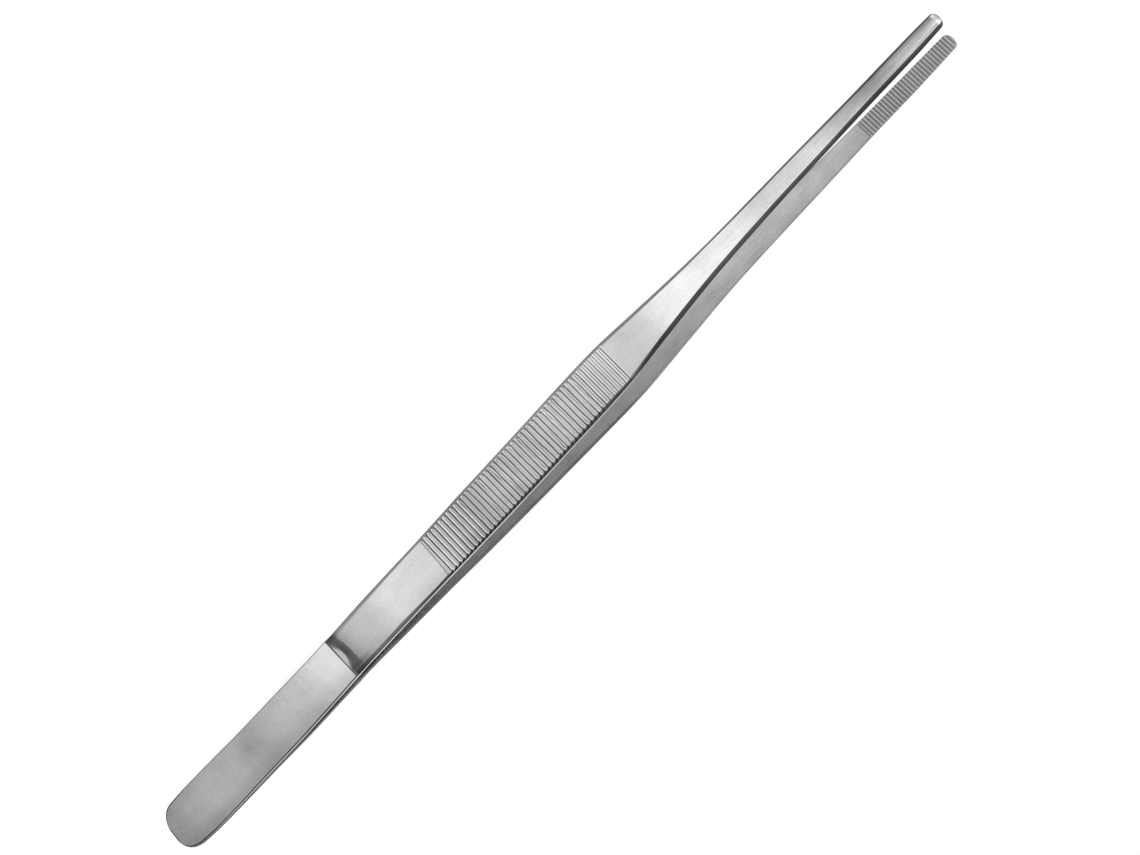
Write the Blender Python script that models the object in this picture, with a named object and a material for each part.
"""Print tongs: two flat spring-steel arms welded together at the butt.

Each arm is one strip of stainless steel. It starts as a broad rounded butt
plate, steps down through a shallow hollow into a thinner spring leaf, carries a
cross-grooved thumb grip, then tapers to a narrow half-round shank that ends in
a toothed jaw. Two spot welds hold the butt plates together.

Frame: +X runs along the tongs to the jaw tips, Y is the opening direction with
the left arm on +Y, +Z is across the width of the arms, and z = 0 is the plane
the side edges rest on. The origin is the middle of the bounding box's base.

The bending of each spring leaf is stood in for by a hinge across the leaf, so
each arm is made in two solids: the half fixed to the butt and the half that
swings. The gap between the two is on the hinge line.
"""
import math
from typing import NamedTuple

import bmesh
import bpy
from mathutils import Matrix, Vector

for old_object in list(bpy.data.objects):
    bpy.data.objects.remove(old_object, do_unlink=True)

MM = 0.001

# ---------------------------------------------------------------- dimensions
# All in millimetres. x is measured from the butt end along the tongs, y from
# the middle plane between the arms and z from the arms' centre line.
LENGTH = 300.0            # butt end to jaw tip

# Butt plate
BUTT_HALF_WIDTH = 7.34    # at its widest place
BUTT_CAP = 6.2            # long radius of the elliptical end, along x
BUTT_END_ANGLE = math.radians(13.0)  # where the ellipse is cut off square
CAP_LENGTH = BUTT_CAP * math.cos(BUTT_END_ANGLE)
CAP_STEPS = 8
BUTT_CHAMFER = 0.15       # broken edge round the outer face
BUTT_STATIONS = (14.0, 20.0)
SEAM_GAP = 0.30           # between the two butt plates
SEAM_END = 28.0           # the plates are flat together up to here
SPREAD_STATIONS = (36.0, 45.0, 55.0)  # between the seam's end and the step

# Step and hollow between butt plate and leaf
STEP_X = 65.3             # the edge where the butt plate ends
STEP_THICKNESS = 1.80     # of the butt plate at that edge
STEP_LIP = 0.12           # height of the sharp lip at that edge
STEP_RUN = 0.04           # length along x over which the lip drops
HOLLOW_END = 70.4         # where the hollow below the lip has run out
HOLLOW_STEPS = 4
HOLLOW_SPACING = 1.3      # power that crowds the stations towards the step

# Spring leaf and its hinge
LEAF_CHAMFER = 1.00       # width of the bevel along the leaf's outer edges
LEAF_BEVEL_DROP = 0.42    # its depth
MAX_BEVEL_SHARE = 0.36    # widest bevel, as a share of the half width
CREST_SHARE = 0.42        # flat crest, as a share of the face between bevels
LEAF_STATIONS = (75.0, 85.0, 93.0)
PIVOT_X = 80.0            # the hinge that stands in for the leaf's bending
SPLIT_GAP = 0.30

# Thumb grip
GRIP_START = 102.0        # first groove
GRIP_LEAD = 0.4           # plain station this far before it
GROOVE_PITCH = 1.50
GROOVE_COUNT = 48
GROOVE_DEPTH = 0.28
GROOVE_WIDTH = 0.62
SHALLOW_COUNT = 5         # the last grooves are shallower
SHALLOW_SHARE = 0.7

# Plain shank stations between grip and jaw
SHANK_LEAD = 1.2          # from the last groove to the first station
SHANK_TAIL = 3.0          # no station this close to the teeth
SHANK_FINE_END = 184.0    # spacing is fine up to here, coarse after it
SHANK_FINE_SPACING = 4.0
SHANK_COARSE_SPACING = 6.5

# Toothed jaw
TEETH_START = 264.0       # first tooth
TEETH_LEAD = 0.6          # plain station this far before it
TOOTH_PITCH = 1.06
TOOTH_COUNT = 33
TOOTH_DEPTH = 0.36
TIP_CORNER = 1.2          # rounding of the tip's corners, seen from outside
TIP_CURVE = 0.96          # below 1, so the rounding stops short of square
TIP_FRACTIONS = (0.0, 0.2, 0.62, 1.0)  # stations along the rounding
TIP_CLEARANCE = 0.15      # least distance from a tip station to the one before

# Spot welds
WELD_X = {"rear": 10.0, "front": 21.0}
WELD_RADIUS = 2.5
WELD_HALF_THICKNESS = 0.35
WELD_CLEARANCE = 0.28     # between a weld and its pocket
POCKET_OVERRUN = 0.4      # the pocket cutter goes this far past the middle plane
WELD_SEGMENTS = 24

SHARP_ANGLE = math.radians(22.0)
STATION_TOLERANCE = 1e-6

# (x, half width) along the arm, after the elliptical end
HALF_WIDTH = (
    (6.2, BUTT_HALF_WIDTH), (14.0, BUTT_HALF_WIDTH), (20.0, 7.28), (30.0, 7.05),
    (45.0, 6.90), (57.0, 6.74), (STEP_X, 6.62), (75.0, 6.66), (90.0, 6.75),
    (102.0, 6.84), (120.0, 6.98), (140.0, 7.05), (166.0, 7.05), (172.0, 6.92),
    (178.0, 6.50), (184.0, 5.97), (192.0, 5.28), (200.0, 4.62), (208.0, 4.07),
    (218.0, 3.63), (231.0, 3.24), (244.0, 2.96), (258.0, 2.70), (271.0, 2.54),
    (285.0, 2.45), (LENGTH, 2.15),
)
# (x, distance of the arm's inner face from the middle plane)
INNER_FACE = (
    (SEAM_END, SEAM_GAP / 2), (40.0, 0.34), (52.0, 0.66), (STEP_X, 1.16),
    (75.0, 1.77), (84.0, 2.34), (110.0, 3.82), (137.0, 5.18), (164.0, 6.46),
    (191.0, 7.70), (218.0, 8.60), (244.0, 9.26), (271.0, 9.72), (286.0, 9.88),
    (LENGTH, 9.94),
)
# (x, thickness of the butt plate)
BUTT_THICKNESS = (
    (0.0, 0.62), (9.0, 0.98), (30.0, 1.62), (50.0, 1.76), (STEP_X, STEP_THICKNESS),
)
# (x, thickness of the leaf, shank and jaw)
LEAF_THICKNESS = (
    (HOLLOW_END, 1.34), (90.0, 1.35), (110.0, 1.43), (160.0, 1.48), (178.0, 1.60),
    (200.0, 1.86), (231.0, 2.04), (264.0, 2.15), (LENGTH, 2.04),
)
# (x, how far the middle of the outer face stands above its edges)
CROWN = ((170.0, 0.0), (205.0, 0.10), (231.0, 0.24), (264.0, 0.30), (LENGTH, 0.28))


# --------------------------------------------------------------- arm profile
def curve(table, x):
    """Smooth monotone curve through a table of (x, value), level beyond its ends."""
    if x <= table[0][0]:
        return table[0][1]
    if x >= table[-1][0]:
        return table[-1][1]
    slopes = [(v1 - v0) / (x1 - x0) for (x0, v0), (x1, v1) in zip(table, table[1:])]

    def tangent(i):
        if i == 0:
            return slopes[0]
        if i == len(slopes):
            return slopes[-1]
        before, after = slopes[i - 1], slopes[i]
        if before * after <= 0.0:
            return 0.0
        return 2.0 * before * after / (before + after)

    k = next(i for i in range(len(slopes)) if x <= table[i + 1][0])
    start_x, start = table[k]
    end_x, end = table[k + 1]
    span = end_x - start_x
    u = (x - start_x) / span
    return (
        start * (1 + 2 * u) * (1 - u) ** 2
        + tangent(k) * span * u * (1 - u) ** 2
        + end * u * u * (3 - 2 * u)
        + tangent(k + 1) * span * u * u * (u - 1)
    )


def hollow_fraction(x):
    """0 up to the step, 1 from the end of the hollow."""
    return min(1.0, max(0.0, (x - STEP_X) / (HOLLOW_END - STEP_X)))


def half_width(x):
    if x < CAP_LENGTH:
        return BUTT_HALF_WIDTH * math.sqrt(1.0 - ((CAP_LENGTH - x) / BUTT_CAP) ** 2)
    tip = max(0.0, (x - (LENGTH - TIP_CORNER)) / TIP_CORNER)
    corner = TIP_CORNER * (1.0 - math.sqrt(1.0 - tip * tip * TIP_CURVE))
    return curve(HALF_WIDTH, x) - corner


def thickness(x):
    if x <= STEP_X:
        return curve(BUTT_THICKNESS, x)
    if x < HOLLOW_END:
        leaf = LEAF_THICKNESS[0][1]
        below_lip = STEP_THICKNESS - STEP_LIP
        return leaf + (below_lip - leaf) * (1.0 - hollow_fraction(x)) ** 2
    return curve(LEAF_THICKNESS, x)


class Station(NamedTuple):
    """A place along the arm where a cross-section is taken."""
    x: float
    groove: float = 0.0       # depth cut into the outer face
    tooth: float = 0.0        # depth cut into the inner face
    below_lip: bool = False   # at the foot of the lip


def section(station):
    """Cross-section of the +Y arm as eight (y, z) points, counter-clockwise seen
    from +X: out along the -Z edge, across the outer face, back along the +Z edge."""
    x = station.x
    half = half_width(x)
    thick = STEP_THICKNESS - STEP_LIP if station.below_lip else thickness(x)
    inner = curve(INNER_FACE, x) + station.tooth
    outer = curve(INNER_FACE, x) + thick

    u = hollow_fraction(x)
    bevel_width = BUTT_CHAMFER + (LEAF_CHAMFER - BUTT_CHAMFER) * u
    bevel_width = min(bevel_width, MAX_BEVEL_SHARE * half)
    bevel_drop = BUTT_CHAMFER + (LEAF_BEVEL_DROP - BUTT_CHAMFER) * u

    face_half = half - bevel_width
    crest_half = CREST_SHARE * face_half
    crown = curve(CROWN, x)
    crest = outer - station.groove
    face = crest - crown
    edge = outer - bevel_drop - crown
    return (
        (inner, -half), (edge, -half), (face, -face_half), (crest, -crest_half),
        (crest, crest_half), (face, face_half), (edge, half), (inner, half),
    )


# ------------------------------------------------------------------ stations
def butt_stations():
    """Rounded end, butt plate, step and hollow."""
    rows = []
    for k in range(CAP_STEPS + 1):
        angle = BUTT_END_ANGLE + (math.pi / 2 - BUTT_END_ANGLE) * k / CAP_STEPS
        rows.append(Station(CAP_LENGTH - BUTT_CAP * math.cos(angle)))
    rows += [Station(x) for x in (*BUTT_STATIONS, SEAM_END, *SPREAD_STATIONS, STEP_X)]
    foot = STEP_X + STEP_RUN
    for k in range(HOLLOW_STEPS + 1):
        x = foot + (HOLLOW_END - foot) * (k / HOLLOW_STEPS) ** HOLLOW_SPACING
        rows.append(Station(x, below_lip=(k == 0)))
    return rows


def grip_stations():
    rows = [Station(GRIP_START - GRIP_LEAD)]
    for k in range(GROOVE_COUNT):
        x = GRIP_START + k * GROOVE_PITCH
        share = SHALLOW_SHARE if k >= GROOVE_COUNT - SHALLOW_COUNT else 1.0
        rows += [
            Station(x),
            Station(x + GROOVE_WIDTH / 2, groove=GROOVE_DEPTH * share),
            Station(x + GROOVE_WIDTH),
        ]
    return rows


def shank_stations(grip_end):
    rows = []
    x = grip_end + SHANK_LEAD
    while x < TEETH_START - SHANK_TAIL:
        rows.append(Station(x))
        x += SHANK_FINE_SPACING if x < SHANK_FINE_END else SHANK_COARSE_SPACING
    return rows


def jaw_stations(phase):
    """Teeth, shifted by phase of a pitch, then the rounded tip."""
    rows = [Station(TEETH_START - TEETH_LEAD)]
    for k in range(TOOTH_COUNT):
        x = TEETH_START + (k + phase) * TOOTH_PITCH
        rows += [Station(x), Station(x + TOOTH_PITCH / 2, tooth=TOOTH_DEPTH)]
    rows.append(Station(TEETH_START + (TOOTH_COUNT + phase) * TOOTH_PITCH))
    for fraction in TIP_FRACTIONS:
        x = LENGTH - TIP_CORNER * (1.0 - fraction)
        if x > rows[-1].x + TIP_CLEARANCE:
            rows.append(Station(x))
    return rows


def stations(x_start, x_end, phase):
    """The arm's stations from x_start to x_end, with one at each end."""
    rows = butt_stations() + [Station(x) for x in LEAF_STATIONS] + grip_stations()
    rows += shank_stations(rows[-1].x) + jaw_stations(phase)
    low = x_start - STATION_TOLERANCE
    high = x_end + STATION_TOLERANCE
    rows = [row for row in rows if low <= row.x <= high]
    if rows[0].x > x_start + STATION_TOLERANCE:
        rows.insert(0, Station(x_start))
    if rows[-1].x < x_end - STATION_TOLERANCE:
        rows.append(Station(x_end))
    return rows


# -------------------------------------------------------------------- solids
def loft(x_start, x_end, side, phase, origin):
    """A closed solid through the arm's cross-sections. side is +1 for the left
    arm and -1 for the right. Vertices are relative to origin."""
    bm = bmesh.new()
    rings = []
    for station in stations(x_start, x_end, phase):
        points = section(station)
        if side < 0:
            points = tuple((-y, z) for y, z in reversed(points))
        rings.append([bm.verts.new(Vector((station.x, y, z)) - origin) for y, z in points])
    for ring, following in zip(rings, rings[1:]):
        for i in range(len(ring)):
            j = (i + 1) % len(ring)
            bm.faces.new((ring[i], following[i], following[j], ring[j]))
    for ring in (rings[0], rings[-1]):      # each end: a fan about its middle
        middle = bm.verts.new(sum((v.co for v in ring), Vector()) / len(ring))
        for i in range(len(ring)):
            bm.faces.new((ring[i], ring[(i + 1) % len(ring)], middle))
    bmesh.ops.recalc_face_normals(bm, faces=bm.faces)
    return bm


def disc(x, radius, y_low, y_high):
    """Closed disc across the seam with its axis along Y."""
    bm = bmesh.new()
    shift = Matrix.Translation((x, (y_low + y_high) / 2, 0.0))
    bmesh.ops.create_cone(
        bm, cap_ends=True, cap_tris=False, segments=WELD_SEGMENTS,
        radius1=radius, radius2=radius, depth=y_high - y_low,
        matrix=shift @ Matrix.Rotation(math.pi / 2, 4, "X"),
    )
    return bm


def to_frame(point):
    """A point in millimetres from the butt end, in the part's frame in metres."""
    return (point + Vector((-LENGTH / 2, 0.0, BUTT_HALF_WIDTH))) * MM


def place(bm, name, origin, material, parent=None):
    """Object from a bmesh in millimetres, with its origin at the given point."""
    mesh = bpy.data.meshes.new(name)
    bm.to_mesh(mesh)
    bm.free()
    mesh.transform(Matrix.Scale(MM, 4))
    mesh.shade_smooth()
    mesh.set_sharp_from_angle(angle=SHARP_ANGLE)
    mesh.materials.append(material)
    placed = bpy.data.objects.new(name, mesh)
    bpy.context.scene.collection.objects.link(placed)
    placed.location = to_frame(origin)
    if parent is not None:
        placed.location = to_frame(origin) - parent.location
        placed.parent = parent
    return placed


def steel(name, colour, roughness):
    material = bpy.data.materials.new(name)
    material.use_nodes = True
    inputs = material.node_tree.nodes["Principled BSDF"].inputs
    inputs["Base Color"].default_value = (*colour, 1.0)
    inputs["Metallic"].default_value = 1.0
    inputs["Roughness"].default_value = roughness
    return material


# -------------------------------------------------------------------- pieces
BUTT_END = Vector((0.0, 0.0, 0.0))


def build_butt(name, side, phase, metal):
    """The half fixed to the butt, with a pocket in it round each weld."""
    bm = loft(0.0, PIVOT_X - SPLIT_GAP / 2, side, phase, BUTT_END)
    butt = place(bm, name + "_butt", BUTT_END, metal)
    reach = WELD_HALF_THICKNESS + WELD_CLEARANCE
    y_low, y_high = sorted((-side * POCKET_OVERRUN, side * reach))
    for where, weld_x in WELD_X.items():
        bm = disc(weld_x, WELD_RADIUS + WELD_CLEARANCE, y_low, y_high)
        cutter = place(bm, f"{name}_pocket_{where}", BUTT_END, metal, butt)
        cutter.hide_render = True
        cutter.display_type = "WIRE"
        pocket = butt.modifiers.new("pocket_" + where, "BOOLEAN")
        pocket.operation = "DIFFERENCE"
        pocket.solver = "EXACT"
        pocket.object = cutter


def build_swinging_arm(name, side, phase, metal):
    """The half that swings, on an empty at the middle of the leaf's thickness."""
    pivot_y = curve(INNER_FACE, PIVOT_X) + thickness(PIVOT_X) / 2
    pivot = Vector((PIVOT_X, side * pivot_y, 0.0))
    hinge = bpy.data.objects.new(name + "_flexure_axis", None)
    bpy.context.scene.collection.objects.link(hinge)
    hinge.location = to_frame(pivot)
    bm = loft(PIVOT_X + SPLIT_GAP / 2, LENGTH, side, phase, pivot)
    place(bm, name + "_arm", pivot, metal, hinge)


def build_welds(metal):
    for where, weld_x in WELD_X.items():
        bm = disc(0.0, WELD_RADIUS, -WELD_HALF_THICKNESS, WELD_HALF_THICKNESS)
        place(bm, "spot_weld_" + where, Vector((weld_x, 0.0, 0.0)), metal)


# The right arm's teeth are half a pitch on, so the two rows mesh.
for arm_name, arm_side, tooth_phase in (("left", 1, 0.0), ("right", -1, 0.5)):
    brushed = steel(arm_name + "_brushed_steel", colour=(0.74, 0.73, 0.71), roughness=0.34)
    build_butt(arm_name, arm_side, tooth_phase, brushed)
    build_swinging_arm(arm_name, arm_side, tooth_phase, brushed)

build_welds(steel("weld_steel", colour=(0.46, 0.45, 0.44), roughness=0.55))
